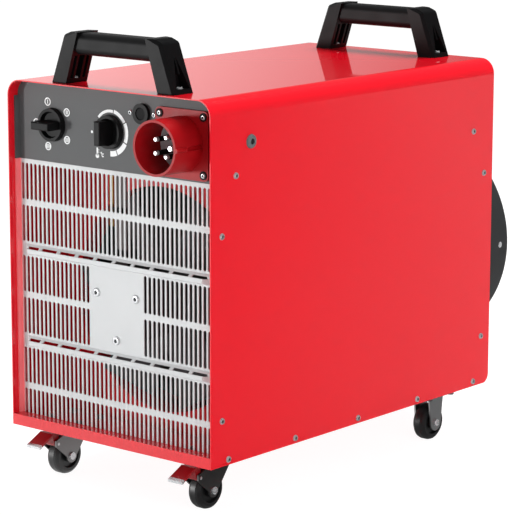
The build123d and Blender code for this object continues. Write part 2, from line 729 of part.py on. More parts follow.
outlet_collar.part.label = "outlet_collar"
export_step(outlet_collar.part, "parts/outlet_collar.step")

with BuildPart() as collar_screws:
    with Locations(*collar_screws_at):
        Cone(screw_r, screw_head_r, collar_screw_cone, align=middle_down)
        Cylinder(screw_r, collar_t + 4, align=middle_down)
collar_screws.part.label = "collar_screws"
export_step(collar_screws.part, "parts/collar_screws.step")

guard_r = duct_r - collar_t - drum_play
guard_hub = guard_r * guard_rings[-1]
with BuildPart() as outlet_guard:
    with BuildSketch(facing(rear_y + guard_start)):
        with Locations((0, drum_axis_z)):
            Circle(guard_r)
            Circle(guard_r - guard_bar, mode=Mode.SUBTRACT)
    extrude(amount=-guard_band)
    with BuildSketch(facing(rear_y + guard_start)):
        with Locations((0, drum_axis_z)):
            for share in guard_rings:
                Circle(guard_r * share + guard_bar)
                Circle(guard_r * share, mode=Mode.SUBTRACT)
            with PolarLocations((guard_r + guard_hub) / 2, 6):
                Rectangle(guard_r - guard_hub - guard_bar, 2 * guard_bar)
    extrude(amount=-guard_bar)
    with Locations(*collar_screws_at):
        Cylinder(screw_r + screw_play, 12 * collar_t, mode=Mode.SUBTRACT)
outlet_guard.part.label = "outlet_guard"
export_step(outlet_guard.part, "parts/outlet_guard.step")

# ---- knobs: skirt, dished front and a straight grip bar ------------------------------------
def knob(x, bar_angle):
    back = panel_y - knob_gap
    with BuildPart() as made:
        with BuildSketch(facing(back)):
            with Locations((x, base_z + knob_z)):
                Circle(knob_r)
        with BuildSketch(facing(back - knob_skirt)):
            with Locations((x, base_z + knob_z)):
                Circle(knob_front_r)
        loft()
        with BuildSketch(facing(back - knob_skirt)):
            with Locations((x, base_z + knob_z)):
                Circle(knob_dish_r)
        with BuildSketch(facing(back - knob_skirt + knob_dish)):
            with Locations((x, base_z + knob_z)):
                Circle(knob_dish_floor_r)
        loft(mode=Mode.SUBTRACT)
        with BuildSketch(facing(back)):
            with Locations(Location((x, base_z + knob_z, 0), (0, 0, bar_angle))):
                Rectangle(grip_len, grip_t)
        extrude(amount=knob_height)
        with BuildSketch(facing(back)):
            with Locations((x, base_z + knob_z)):
                Circle(spindle_r)
        extrude(amount=-(spindle_len + knob_gap))
        tips = made.edges().group_by(Axis.Y)[0]
        fillet(tips, 1.5)
    return made.part


for name, x, bar_angle in (("selector_knob", selector_x, 0), ("thermostat_knob", thermostat_x, 90)):
    piece = knob(x, bar_angle)
    piece.label = name
    export_step(piece, f"parts/{name}.step")

switch_face = panel_y + panel_t
with BuildPart() as selector_switch:
    with Locations((selector_x, switch_face, base_z + knob_z)):
        Box(switch_size, switch_depth, switch_size, align=(Align.CENTER, Align.MIN, Align.CENTER))
    with Locations(*on_front(switch_face, knob_spots[:1])):
        Cylinder(spindle_r + running, 2 * spindle_len, mode=Mode.SUBTRACT)
selector_switch.part.label = "selector_switch"
export_step(selector_switch.part, "parts/selector_switch.step")

with BuildPart() as thermostat:
    with Locations((thermostat_x, switch_face, base_z + knob_z)):
        Box(thermostat_size, thermostat_depth, thermostat_size, align=(Align.CENTER, Align.MIN, Align.CENTER))
    with Locations(*on_front(switch_face, knob_spots[1:])):
        Cylinder(spindle_r + running, 2 * spindle_len, mode=Mode.SUBTRACT)
thermostat.part.label = "thermostat"
export_step(thermostat.part, "parts/thermostat.step")

# sensing bulb below the tray, on its capillary from the thermostat
with BuildPart() as thermostat_bulb:
    bulb_top = tray_z - 6
    capillary_top = base_z + knob_z - thermostat_size / 2
    with Locations((thermostat_x - capillary_side, switch_face + thermostat_depth / 2, capillary_top)):
        Cylinder(capillary_r, capillary_top - bulb_top + 1, align=middle_down)
    with Locations((thermostat_x - capillary_side, switch_face + thermostat_depth / 2, bulb_top)):
        Cylinder(bulb_r, bulb_len, align=middle_down)
thermostat_bulb.part.label = "thermostat_bulb"
export_step(thermostat_bulb.part, "parts/thermostat_bulb.step")

# ---- reset button in its boss ---------------------------------------------------------------
with BuildPart() as reset_boss:
    with BuildSketch(facing(panel_y)):
        with Locations(reset_spot):
            Circle(reset_r)
            Circle(reset_bore, mode=Mode.SUBTRACT)
    extrude(amount=reset_h)
reset_boss.part.label = "reset_boss"
export_step(reset_boss.part, "parts/reset_boss.step")

with BuildPart() as reset_button:
    with BuildSketch(facing(panel_y - reset_h + 1)):
        with Locations(reset_spot):
            Circle(reset_bore - button_play)
    extrude(amount=-(reset_h + panel_t + 3))
    fillet(reset_button.edges().group_by(Axis.Y)[0], 1)
reset_button.part.label = "reset_button"
export_step(reset_button.part, "parts/reset_button.step")

with BuildPart() as reset_limiter:
    with Locations((reset_x, switch_face, base_z + reset_z)):
        Box(reset_screw_pitch + 8, limiter_depth, limiter_size, align=(Align.CENTER, Align.MIN, Align.CENTER))
    with Locations(*on_front(switch_face, [reset_spot])):
        Cylinder(reset_bore, 2 * (4 + reset_travel), mode=Mode.SUBTRACT)
    with Locations(*on_front(switch_face, reset_screw_spots)):
        Cylinder(screw_r + screw_play, 2 * screw_len, mode=Mode.SUBTRACT)
reset_limiter.part.label = "reset_limiter"
export_step(reset_limiter.part, "parts/reset_limiter.step")

with BuildPart() as reset_screws:
    with Locations(*on_front(panel_y, reset_screw_spots)):
        Cylinder(reset_screw_r, screw_head_h, align=middle_up)
        Cylinder(screw_r, screw_len, align=middle_down)
reset_screws.part.label = "reset_screws"
export_step(reset_screws.part, "parts/reset_screws.step")

# ---- mains inlet: flanged shroud, insert and five pins ----------------------------------------
inlet_face = panel_y - inlet_flange_t
inlet_mouth = front_y - inlet_reach
inlet_spot = (inlet_x, base_z + inlet_z)
with BuildPart() as inlet_housing:
    with BuildSketch(facing(panel_y)):
        with Locations(inlet_spot):
            RectangleRounded(inlet_flange, inlet_flange, inlet_corner)
    extrude(amount=inlet_flange_t)
    with BuildSketch(facing(panel_y)):
        with Locations(inlet_spot):
            Circle(inlet_r)
        with Locations((inlet_spot[0] + inlet_r, inlet_spot[1])):
            Circle(key_r, mode=Mode.SUBTRACT)
    extrude(amount=panel_y - inlet_mouth)
    with BuildSketch(facing(inlet_mouth)):
        with Locations((inlet_spot[0] + inlet_r, inlet_spot[1])):
            Circle(key_r)
    extrude(amount=-key_len)
    with BuildSketch(facing(inlet_mouth)):
        with Locations(inlet_spot):
            Circle(insert_r + insert_play)
    extrude(amount=-(panel_y - inlet_mouth), mode=Mode.SUBTRACT)
    with Locations(*on_front(inlet_face, inlet_screw_spots)):
        Cylinder(screw_r + screw_play, 4 * inlet_flange_t, mode=Mode.SUBTRACT)
inlet_housing.part.label = "inlet_housing"
export_step(inlet_housing.part, "parts/inlet_housing.step")

pin_angles = (-3, 62, 141, -141, -62)
insert_face = panel_y - inlet_floor
with BuildPart() as inlet_insert:
    with BuildSketch(facing(insert_face)):
        with Locations(inlet_spot):
            Circle(insert_r)
    extrude(amount=-insert_depth)
    for i, angle in enumerate(pin_angles):
        radius = earth_pin_r if i == 0 else pin_r
        with Locations(*on_front(insert_face, circle_spots(pin_circle, inlet_spot[1], [angle], inlet_x))):
            Cylinder(radius + running, 2 * pin_hole, mode=Mode.SUBTRACT)
inlet_insert.part.label = "inlet_insert"
export_step(inlet_insert.part, "parts/inlet_insert.step")

with BuildPart() as inlet_pins:
    for i, angle in enumerate(pin_angles):
        radius = earth_pin_r if i == 0 else pin_r
        with BuildSketch(facing(inlet_mouth + pin_tip)):
            with Locations(*circle_spots(pin_circle, inlet_spot[1], [angle], inlet_x)):
                Circle(radius)
        extrude(amount=-(insert_face + pin_hole - fit - inlet_mouth - pin_tip))
    chamfer(inlet_pins.edges().group_by(Axis.Y)[0], 1)
inlet_pins.part.label = "inlet_pins"
export_step(inlet_pins.part, "parts/inlet_pins.step")

with BuildPart() as inlet_screws:
    with Locations(*on_front(inlet_face, inlet_screw_spots)):
        Cylinder(reset_screw_r, screw_head_h, align=middle_up)
        Cylinder(screw_r, screw_len + inlet_flange_t, align=middle_down)
inlet_screws.part.label = "inlet_screws"
export_step(inlet_screws.part, "parts/inlet_screws.step")

# ---- electrical parts on the tray ----------------------------------------------------------------
tray_top = tray_z + sheet
with BuildPart() as din_rail:
    with BuildSketch(Plane.YZ.offset(-rail_len / 2)):
        with Locations((front_y + rail_y, tray_top)):
            Rectangle(rail_w - 8, rail_h, align=(Align.CENTER, Align.MIN))
            Rectangle(rail_w - 8 - 2 * panel_t, rail_h - panel_t, align=(Align.CENTER, Align.MIN), mode=Mode.SUBTRACT)
        with Locations((front_y + rail_y, tray_top + rail_h - panel_t)):
            Rectangle(rail_w, panel_t, align=(Align.CENTER, Align.MIN))
    extrude(amount=rail_len)
din_rail.part.label = "din_rail"
export_step(din_rail.part, "parts/din_rail.step")

with BuildPart() as contactors:
    for i in (-1, 0, 1):
        left = i * contactor_pitch - contactor[0] / 2
        foot, mid_y = tray_top + rail_h, front_y + rail_y
        with BuildSketch(Plane.YZ.offset(left)):
            with Locations((mid_y, foot)):
                Rectangle(contactor[1], contactor[2] * 0.45, align=(Align.CENTER, Align.MIN))
                Rectangle(contactor[1] * 0.72, contactor[2] * 0.75, align=(Align.CENTER, Align.MIN))
                Rectangle(contactor[1] * 0.42, contactor[2], align=(Align.CENTER, Align.MIN))
        extrude(amount=contactor[0])
        with Locations(*[(left + contactor[0] * (k + 0.5) / 3, mid_y + j * contactor[1] * 0.43, foot + contactor[2] * 0.45)
                         for k in range(3) for j in (1, -1)]):
            Box(contactor[0] / 5, contactor[1] * 0.14, contactor[2] * 0.24, mode=Mode.SUBTRACT)
contactors.part.label = "contactors"
export_step(contactors.part, "parts/contactors.step")

with BuildPart() as terminal_block:
    block_x = inlet_x - 12
    with BuildSketch(Plane.YZ.offset(block_x - block[0] / 2)):
        with Locations((front_y + block_y, tray_top)):
            Rectangle(block[1], block[2] * 0.6, align=(Align.CENTER, Align.MIN))
            Rectangle(block[1] * 0.5, block[2], align=(Align.CENTER, Align.MIN))
    extrude(amount=block[0])
    with Locations((block_x, front_y + block_y, tray_top + block[2] * 0.6)):
        with GridLocations(block[0] / 5, block[1] * 0.8, 5, 2):
            Box(block[0] / 8, block[1] * 0.16, block[2] * 0.5, mode=Mode.SUBTRACT)
terminal_block.part.label = "terminal_block"
export_step(terminal_block.part, "parts/terminal_block.step")

# ---- casters ------------------------------------------------------------------------------------
plate_low = base_z - caster_plate_t
fork_top = plate_low - race_h


def wheel(x, y):
    """Solid tyre with a crowned tread, webs set back on both sides and a hub between the fork legs."""
    half = wheel_w / 2
    with BuildPart() as made:
        with BuildSketch(Plane.XZ.offset(-y)) as section:
            with BuildLine():
                Polyline((x - hub_w / 2, axle_z), (x - hub_w / 2, axle_z + wheel_hub_r), (x - half + 4, axle_z + wheel_hub_r),
                         (x - half + 4, axle_z + 16), (x - half, axle_z + 17), (x - half, axle_z + wheel_r - 4.5),
                         (x - half + 3, axle_z + wheel_r - 1), (x - half + 6, axle_z + wheel_r),
                         (x + half - 6, axle_z + wheel_r), (x + half - 3, axle_z + wheel_r - 1),
                         (x + half, axle_z + wheel_r - 4.5), (x + half, axle_z + 17), (x + half - 4, axle_z + 16),
                         (x + half - 4, axle_z + wheel_hub_r), (x + hub_w / 2, axle_z + wheel_hub_r),
                         (x + hub_w / 2, axle_z), close=True)
            make_face()
        revolve(axis=Axis((x, y, axle_z), (1, 0, 0)))
        with Locations(Location((x, y, axle_z), (0, 90, 0))):
            Cylinder(axle_r + running, 2 * wheel_w, mode=Mode.SUBTRACT)
    return made.part


axle_z = wheel_r
front_wheel_y = front_y + front_caster_y - trail
rear_wheel_y = rear_y - rear_caster_back
pedal_pivot = (front_y + front_caster_y - pedal_pivot_y, base_z - pedal_pivot_drop)


def caster_plate(x, y, size, pattern, swivel):
    with BuildPart() as made:
        with BuildSketch(Plane.XY.offset(plate_low)):
            with Locations((x, y)):
                RectangleRounded(*size, 4)
                with GridLocations(*pattern, 2, 2):
                    Circle(bolt_r + screw_play, mode=Mode.SUBTRACT)
                if swivel:
                    Circle(kingpin_r + running, mode=Mode.SUBTRACT)
        extrude(amount=caster_plate_t)
    return made.part


def front_fork(x):
    """Swivel fork: race, kingpin, top plate and two legs that also carry the brake pedal's pin."""
    y = front_y + front_caster_y
    with BuildPart() as made:
        with BuildSketch(Plane.XY.offset(fork_top - fork_t)):
            with Locations((x, y)):
                Circle(fork_width_top)
            with Locations((x, y)):
                Rectangle(2 * fork_half, trail + 6, align=(Align.CENTER, Align.MAX))
        extrude(amount=fork_t)
        with BuildSketch(Plane.XY.offset(fork_top)):
            with Locations((x, y)):
                Circle(race_r)
        extrude(amount=race_h - race_gap)
        with BuildSketch(Plane.XY.offset(fork_top)):
            with Locations((x, y)):
                Circle(kingpin_r)
        extrude(amount=race_h + caster_plate_t - race_gap)
        for side in (1, -1):
            with BuildSketch(Plane.YZ.offset(x + side * (fork_half - fork_t / 2) - fork_t / 2)) as leg:
                with BuildLine():
                    Polyline((y + 8, fork_top), (y + 8, fork_top - 6), (front_wheel_y + fork_foot_r, axle_z),
                             (front_wheel_y - fork_foot_r, axle_z), (pedal_pivot[0] - 4.5, pedal_pivot[1] - 3),
                             (pedal_pivot[0] - 4.5, pedal_pivot[1] + 4.5), (y - trail - 6, fork_top), close=True)
                make_face()
                with Locations((front_wheel_y, axle_z)):
                    Circle(fork_foot_r)
                    Circle(axle_r + screw_play, mode=Mode.SUBTRACT)
                with Locations(pedal_pivot):
                    Circle(pedal_pin_r + screw_play, mode=Mode.SUBTRACT)
            extrude(amount=fork_t)
    return made.part


def pin_pair(x, low_y):
    """Axle with a head on each side; front casters also have the pedal's pin."""
    with BuildPart() as made:
        with Locations(Location((x, low_y, axle_z), (0, 90, 0))):
            Cylinder(axle_r, 2 * fork_half)
        for side in (1, -1):
            with Locations(Location((x + side * fork_half, low_y, axle_z), (0, side * 90, 0))):
                Cylinder(axle_head_r, axle_head, align=middle_up)
        if low_y == front_wheel_y:
            with Locations(Location((x, *pedal_pivot), (0, 90, 0))):
                Cylinder(pedal_pin_r, 2 * fork_half + 1)
    return made.part


def brake_pedal(x):
    """Foot lever: a bushed heel between the fork legs, and a wider blade that slopes down to its tip."""
    y, z = pedal_pivot
    tip_y = front_y + front_caster_y - pedal_reach
    crest_y, crest_z, tip_z = y - pedal_crest[0], base_z - pedal_crest[1], base_z - pedal_tip_drop
    with BuildPart() as made:
        with BuildSketch(Plane.YZ.offset(x - pedal_w / 2)):
            with BuildLine():
                Polyline((y + 4, z - 1), (y + 4, z + 10), (y + 2, crest_z - 1), (crest_y, crest_z),
                         (crest_y, crest_z - pedal_t - 1), (y - 4, z - 1), close=True)
            make_face()
            with Locations((y, z)):
                Circle(4)
                Circle(pedal_pin_r + running, mode=Mode.SUBTRACT)
        extrude(amount=pedal_w)
        with BuildSketch(Plane.YZ.offset(x - paddle_w / 2)):
            with BuildLine():
                Polyline((crest_y + 1, crest_z), (tip_y + 5, tip_z + pedal_t), (tip_y, tip_z),
                         (tip_y, tip_z - pedal_t), (tip_y + 5, tip_z - 0.3), (crest_y + 1, crest_z - pedal_t), close=True)
            make_face()
        extrude(amount=paddle_w)
    return made.part


def rear_bracket(x):
    """Fixed caster: plate with two tapered legs, rounded round the axle."""
    y = rear_wheel_y
    with BuildPart() as made:
        add(caster_plate(x, y, rear_plate, rear_bolts, False))
        for side in (1, -1):
            with BuildSketch(Plane.YZ.offset(x + side * (fork_half - fork_t / 2) - fork_t / 2)):
                with BuildLine():
                    Polyline((y - rear_leg_top / 2, plate_low), (y + rear_leg_top / 2, plate_low),
                             (y + rear_leg_foot, axle_z), (y - rear_leg_foot, axle_z), close=True)
                make_face()
                with Locations((y, axle_z)):
                    Circle(rear_leg_foot)
                    Circle(axle_r + screw_play, mode=Mode.SUBTRACT)
            extrude(amount=fork_t)
    return made.part


front_caster_at = front_y + front_caster_y
for word, side in (("left", -1), ("right", 1)):
    fx, rx = side * front_caster_x, side * rear_caster_x
    pieces = {
        f"front_plate_{word}": caster_plate(fx, front_caster_at, front_plate, front_bolts, True),
        f"front_fork_{word}": front_fork(fx),
        f"front_pins_{word}": pin_pair(fx, front_wheel_y),
        f"front_wheel_{word}": wheel(fx, front_wheel_y),
        f"brake_pedal_{word}": brake_pedal(fx),
        f"rear_bracket_{word}": rear_bracket(rx),
        f"rear_axle_{word}": pin_pair(rx, rear_wheel_y),
        f"rear_wheel_{word}": wheel(rx, rear_wheel_y),
    }
    for name, piece in pieces.items():
        piece.label = name
        export_step(piece, f"parts/{name}.step")

with BuildPart() as caster_bolts:
    with Locations(*[(x, y, plate_low) for x, y, z in caster_bolt_spots]):
        Cylinder(bolt_head_r, bolt_head_h, align=middle_down)
        Cylinder(bolt_r, caster_plate_t + sheet + nut_h + bolt_end, align=middle_up)
caster_bolts.part.label = "caster_bolts"
export_step(caster_bolts.part, "parts/caster_bolts.step")

with BuildPart() as caster_nuts:
    with BuildSketch(Plane.XY.offset(base_z + sheet)):
        with Locations(*[(x, y) for x, y, z in caster_bolt_spots]):
            RegularPolygon(nut_r, 6)
            Circle(bolt_r + screw_play, mode=Mode.SUBTRACT)
    extrude(amount=nut_h)
caster_nuts.part.label = "caster_nuts"
export_step(caster_nuts.part, "parts/caster_nuts.step")
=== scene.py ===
"""Looks of a portable electric forced air heater: finishes, screw heads, inlet details,
pedal lips, dial marks and the studio it stands in."""

import json
import math

import bmesh
import bpy
from mathutils import Matrix, Vector


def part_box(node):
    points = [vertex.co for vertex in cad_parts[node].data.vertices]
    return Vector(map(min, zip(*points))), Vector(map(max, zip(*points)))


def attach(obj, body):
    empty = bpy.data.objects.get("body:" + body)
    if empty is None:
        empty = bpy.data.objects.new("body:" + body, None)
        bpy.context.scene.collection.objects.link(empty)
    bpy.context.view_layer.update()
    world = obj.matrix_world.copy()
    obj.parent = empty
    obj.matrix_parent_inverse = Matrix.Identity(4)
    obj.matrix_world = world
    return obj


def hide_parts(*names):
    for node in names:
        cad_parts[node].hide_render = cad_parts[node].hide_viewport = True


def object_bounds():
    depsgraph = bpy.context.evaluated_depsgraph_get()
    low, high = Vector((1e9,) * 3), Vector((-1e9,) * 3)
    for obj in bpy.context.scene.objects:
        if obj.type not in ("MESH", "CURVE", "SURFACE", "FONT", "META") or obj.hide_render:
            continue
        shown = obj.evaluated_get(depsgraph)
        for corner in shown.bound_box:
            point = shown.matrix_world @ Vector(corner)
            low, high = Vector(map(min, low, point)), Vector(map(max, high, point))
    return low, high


bl_info = {
    "name": "Forced Air Heater",
    "version": (1, 0, 0),
    "blender": (4, 5, 0),
    "location": "View3D > Sidebar > Heater",
    "description": "Finishes and small details of a portable electric forced air heater",
    "category": "Object",
}

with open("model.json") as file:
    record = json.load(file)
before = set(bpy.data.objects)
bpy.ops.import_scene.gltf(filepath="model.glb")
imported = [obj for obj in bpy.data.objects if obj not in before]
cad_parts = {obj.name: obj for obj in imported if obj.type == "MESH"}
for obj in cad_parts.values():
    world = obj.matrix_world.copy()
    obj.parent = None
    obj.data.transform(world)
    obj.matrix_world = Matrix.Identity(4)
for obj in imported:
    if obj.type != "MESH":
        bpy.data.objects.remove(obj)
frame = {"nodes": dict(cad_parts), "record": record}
CAD_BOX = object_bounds()
SLOTS = {part["node"]: part["material_slot"] for part in frame["record"]["subparts"]}

MM = 0.001
PANEL_RECESS = 17 * MM     # the control panel lies this far behind the case's front edge
PANEL_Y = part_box("outer_shell")[0].y + PANEL_RECESS
GRILLE_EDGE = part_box("intake_grille")[1].x
PRINT_LIFT = 0.12 * MM     # printing stands this far off the paint
PRINT_Y = PANEL_Y - PRINT_LIFT
MERGE = 1e-6               # vertices nearer than this are one


# ---- colours and nodes ---------------------------------------------------------------------
WHITE = (1, 1, 1, 1)

# Sockets of a Mix node, by index because its colour and number sockets share their names.
FACTOR = 0
NUMBER_A, NUMBER_B = 2, 3
COLOUR_A, COLOUR_B, COLOUR_RESULT = 6, 7, 2


def linear(code):
    """An sRGB hex colour as linear red, green, blue and 1."""
    parts = [int(code[i:i + 2], 16) / 255 for i in (0, 2, 4)]
    return [p / 12.92 if p <= 0.04045 else ((p + 0.055) / 1.055) ** 2.4 for p in parts] + [1.0]


def add_node(tree, kind, settings=(), links=()):
    """A node of that kind, with its attributes or input values set and its inputs linked."""
    made = tree.nodes.new(kind)
    for name, value in dict(settings).items():
        if isinstance(name, str) and hasattr(made, name):
            setattr(made, name, value)
        else:
            made.inputs[name].default_value = value
    for name, source in dict(links).items():
        tree.links.new(source, made.inputs[name])
    return made


# ---- finishes ------------------------------------------------------------------------------
CLEAR_COAT_ROUGHNESS = 0.03
LEAST_ROUGHNESS = 0.02
BUMP_DEPTH = 0.2           # share of the grain's size


def finish_material(name, colour, metallic=0.0, roughness=0.5, spread=0.06, grain_mm=1.0,
                    grain=0.05, tone=0.06, patch_mm=60.0, coat=0.0, stretch=(1, 1, 1),
                    specular=0.5):
    """One painted, plated or moulded surface.

    Its fine grain, of grain_mm and as strong as grain, is in the bump. Broad patches of
    patch_mm vary the colour by tone and the roughness by spread."""
    mat = bpy.data.materials.new(name)
    mat.use_nodes = True
    tree = mat.node_tree
    tree.nodes.clear()
    place = add_node(tree, "ShaderNodeTexCoord").outputs["Object"]
    run = add_node(tree, "ShaderNodeMapping", {"Scale": stretch}, {"Vector": place})
    fine = add_node(tree, "ShaderNodeTexNoise", {"Scale": 1 / (grain_mm * MM), "Detail": 3.0},
                    {"Vector": run.outputs["Vector"]})
    broad = add_node(tree, "ShaderNodeTexNoise", {"Scale": 1 / (patch_mm * MM), "Detail": 4.0},
                     {"Vector": place})
    base = linear(colour)[:3]
    blend = add_node(tree, "ShaderNodeMix",
                     {"data_type": "RGBA",
                      COLOUR_A: [c * (1 - tone) for c in base] + [1.0],
                      COLOUR_B: [min(1.0, c * (1 + tone)) for c in base] + [1.0]},
                     {FACTOR: broad.outputs["Fac"]})
    sheen = add_node(tree, "ShaderNodeMapRange",
                     {"To Min": max(LEAST_ROUGHNESS, roughness - spread),
                      "To Max": min(1.0, roughness + spread)},
                     {"Value": broad.outputs["Fac"]})
    bump = add_node(tree, "ShaderNodeBump",
                    {"Strength": grain, "Distance": BUMP_DEPTH * grain_mm * MM},
                    {"Height": fine.outputs["Fac"]})
    shader = add_node(tree, "ShaderNodeBsdfPrincipled",
                      {"Metallic": metallic, "Specular IOR Level": specular,
                       "Coat Weight": coat, "Coat Roughness": CLEAR_COAT_ROUGHNESS},
                      {"Base Color": blend.outputs[COLOUR_RESULT],
                       "Roughness": sheen.outputs["Result"],
                       "Normal": bump.outputs["Normal"]})
    add_node(tree, "ShaderNodeOutputMaterial", (), {"Surface": shader.outputs["BSDF"]})
    return mat


# Stove enamel, sprayed and baked: deep red under a clear gloss, with faint orange peel.
def gloss_red_enamel(colour):
    return finish_material("gloss_red_enamel", colour, roughness=0.4, spread=0.01, grain_mm=1.6,
                           grain=0.02, tone=0.012, patch_mm=300, coat=1.0, specular=0.2)


# Polyester powder coat: an even satin skin with fine peel.
def powder_coat(name, colour, roughness=0.5, grain_mm=1.2):
    return finish_material(name, colour, roughness=roughness, spread=0.05, grain_mm=grain_mm,
                           grain=0.10, tone=0.05, patch_mm=90, specular=0.22)


# Painted reflection: the case's red that the hems pick up is painted in between these distances
# from the grille's edge.
HEM_INNER, HEM_OUTER = 6.5 * MM, 2.5 * MM    # the red fades in between, from the grille's edge


# Silver powder coat; on the hemmed sides the case's red that they reflect is painted into the
# colour, a painted reflection.
def silver_with_painted_red_reflection(colour, painted_reflection_red):
    mat = powder_coat("silver_powder_coat_with_painted_red_reflection", colour, 0.46)
    tree = mat.node_tree
    shader = next(n for n in tree.nodes if n.bl_idname == "ShaderNodeBsdfPrincipled")
    silver = shader.inputs["Base Color"].links[0].from_socket
    place = add_node(tree, "ShaderNodeTexCoord").outputs["Object"]
    along = add_node(tree, "ShaderNodeSeparateXYZ", (), {"Vector": place})
    off_middle = add_node(tree, "ShaderNodeMath", {"operation": "ABSOLUTE"},
                          {0: along.outputs["X"]})
    painted_reflection_share = add_node(tree, "ShaderNodeMapRange",
                   {"From Min": GRILLE_EDGE - HEM_INNER, "From Max": GRILLE_EDGE - HEM_OUTER},
                   {"Value": off_middle.outputs[0]})
    both = add_node(tree, "ShaderNodeMix", {"data_type": "RGBA", COLOUR_B: linear(painted_reflection_red)},
                    {FACTOR: painted_reflection_share.outputs["Result"], COLOUR_A: silver})
    tree.links.new(both.outputs[COLOUR_RESULT], shader.inputs["Base Color"])
    return mat


# Plated steel: grey, slightly cloudy, with rolling marks along the sheet.
def plated_steel(name, colour, roughness=0.38, metallic=1.0):
    return finish_material(name, colour, metallic=metallic, roughness=roughness, spread=0.10,
                           grain_mm=0.8, grain=0.10, tone=0.12, patch_mm=14,
                           stretch=(1, 0.25, 1))


# Moulded polyamide, polycarbonate or rubber: spark-eroded texture, low sheen.
def moulded_plastic(name, colour, roughness=0.5):
    return finish_material(name, colour, roughness=roughness, spread=0.06, grain_mm=0.9,
                           grain=0.18, tone=0.07, patch_mm=30, specular=0.14)


# Solid rubber tyre: matt, dusty in patches.
def tyre_rubber(colour):
    return finish_material("moulded_tyre_rubber", colour, roughness=0.4, spread=0.08,
                           grain_mm=0.9, grain=0.12, tone=0.15, patch_mm=12)


# Rolled stainless steel, tinted by heat: a dark brownish grey, streaked along the sheet.
def heat_tinted_steel(colour):
    return finish_material("heat_tinted_steel", colour, metallic=1.0, roughness=0.35, spread=0.1,
                           grain_mm=0.7, grain=0.1, tone=0.2, patch_mm=50, stretch=(1, 0.2, 1))


# Injection-moulded red polyamide of the inlet: smooth, a soft even sheen.
def inlet_polyamide(colour):
    return finish_material("red_polyamide", colour, roughness=0.42, grain_mm=0.8, grain=0.06,
                           tone=0.04, patch_mm=25, specular=0.18)


# Dark red polyamide of the pedals: shinier than the inlet, a little worn in tone.
def pedal_polyamide(colour):
    return finish_material("dark_red_polyamide", colour, roughness=0.35, grain_mm=0.8,
                           grain=0.08, tone=0.05, patch_mm=18)


# Turned brass of the thermostat's bulb: warm yellow, finely grained.
def turned_brass(colour):
    return finish_material("turned_brass", colour, metallic=1.0, roughness=0.25, tone=0.1,
                           grain_mm=0.5, grain=0.1, patch_mm=8)


# Screen printing ink: a flat off-white layer, slightly uneven.
def screen_print(colour):
    return finish_material("white_screen_print", colour, roughness=0.5, grain_mm=0.6,
                           grain=0.05, tone=0.03, patch_mm=10)


# Painted shade in a driver socket: a dull dark grey on its walls and bottom that stands for its
# depth.
def painted_socket_shade(colour):
    return finish_material("painted_socket_shade_grey", colour, metallic=0.6, roughness=0.5, tone=0.1,
                           patch_mm=3)


def recipes(colours):
    """How each finish is made, by the name of its material slot or of the scene's own finish."""
    return {
        # The record's material slots.
        "red_paint": lambda: gloss_red_enamel(colours.case_red),
        "panel_paint": lambda: powder_coat("panel_grey_powder_coat", colours.panel_grey),
        # The grille's hemmed sides carry a painted reflection of the case's red, F8787C.
        "grille_paint": lambda: silver_with_painted_red_reflection(colours.grille_silver, "F8787C"),
        "dark_paint": lambda: powder_coat("collar_grey_powder_coat", colours.collar_grey),
        "motor_paint": lambda: powder_coat("motor_black_powder_coat", "2A2B2D"),
        "zinc": lambda: plated_steel("zinc_plated_steel", "8F9194"),
        "bright_steel": lambda: plated_steel("nickel_plated_steel", "D2D4D6", 0.28, 0.65),
        "fork_steel": lambda: plated_steel("black_zinc_plated_steel", "868484", 0.45),
        "heat_steel": lambda: heat_tinted_steel("4A4744"),
        "brass": lambda: turned_brass("C7A86A"),
        "black_plastic": lambda: moulded_plastic("black_polyamide", colours.handle_black, 0.48),
        "grey_plastic": lambda: moulded_plastic("grey_polycarbonate", "B9BBBD", 0.4),
        "red_plastic": lambda: inlet_polyamide(colours.inlet_red),
        "tyre_rubber": lambda: tyre_rubber("161617"),
        # Satin grey blades and lock heads, which stand out from the darker collar's finish.
        "fan_paint": lambda: powder_coat("dark_grey_fan_enamel", "4C4D4F"),
        "lock_grey": lambda: powder_coat("grey_powder_coated_screw", "5E6263", 0.4, 0.8),
        # Matt black rubber for the inlet's washers and pin sleeves; on the reset button the same
        # near-black is painted shade that stands for the deep hole round it. And the dull weave
        # of the motor's strap.
        "black_rubber_and_painted_hole_shade": lambda: moulded_plastic("black_rubber_with_painted_hole_shade", "0C0C0D", 0.6),
        "strap_grey": lambda: moulded_plastic("grey_glass_fibre_tape", "6E6768", 0.55),
        # Plain zinc on the rear casters, paler than the black-plated front ones.
        "bracket_steel": lambda: plated_steel("grey_zinc_plated_steel", "BDBDBE", 0.45),
        "pedal_red": lambda: pedal_polyamide("8E0C14"),
        "white_print": lambda: screen_print("E4E6E6"),
        "socket_shadow": lambda: painted_socket_shade("3A3B3D"),
    }


# Nodes whose look differs from the rest of their material slot.
OWN_FINISH = {
    "fan_impeller": "fan_paint",
    "lock_screws": "lock_grey",
    # The reset button is painted near-black, painted shade for the deep hole round it.
    "reset_button": "black_rubber_and_painted_hole_shade",
    "motor_strap": "strap_grey",
    "rear_bracket_left": "bracket_steel",
    "rear_bracket_right": "bracket_steel",
    "brake_pedal_left": "pedal_red",
    "brake_pedal_right": "pedal_red",
}
MADE_FINISHES = {}


def finish(name):
    """The named finish, made once from the colours in the panel."""
    if name not in MADE_FINISHES:
        MADE_FINISHES[name] = recipes(bpy.context.scene.heater_colours)[name]()
    return MADE_FINISHES[name]


def node_finish(node):
    return OWN_FINISH.get(node, SLOTS[node])


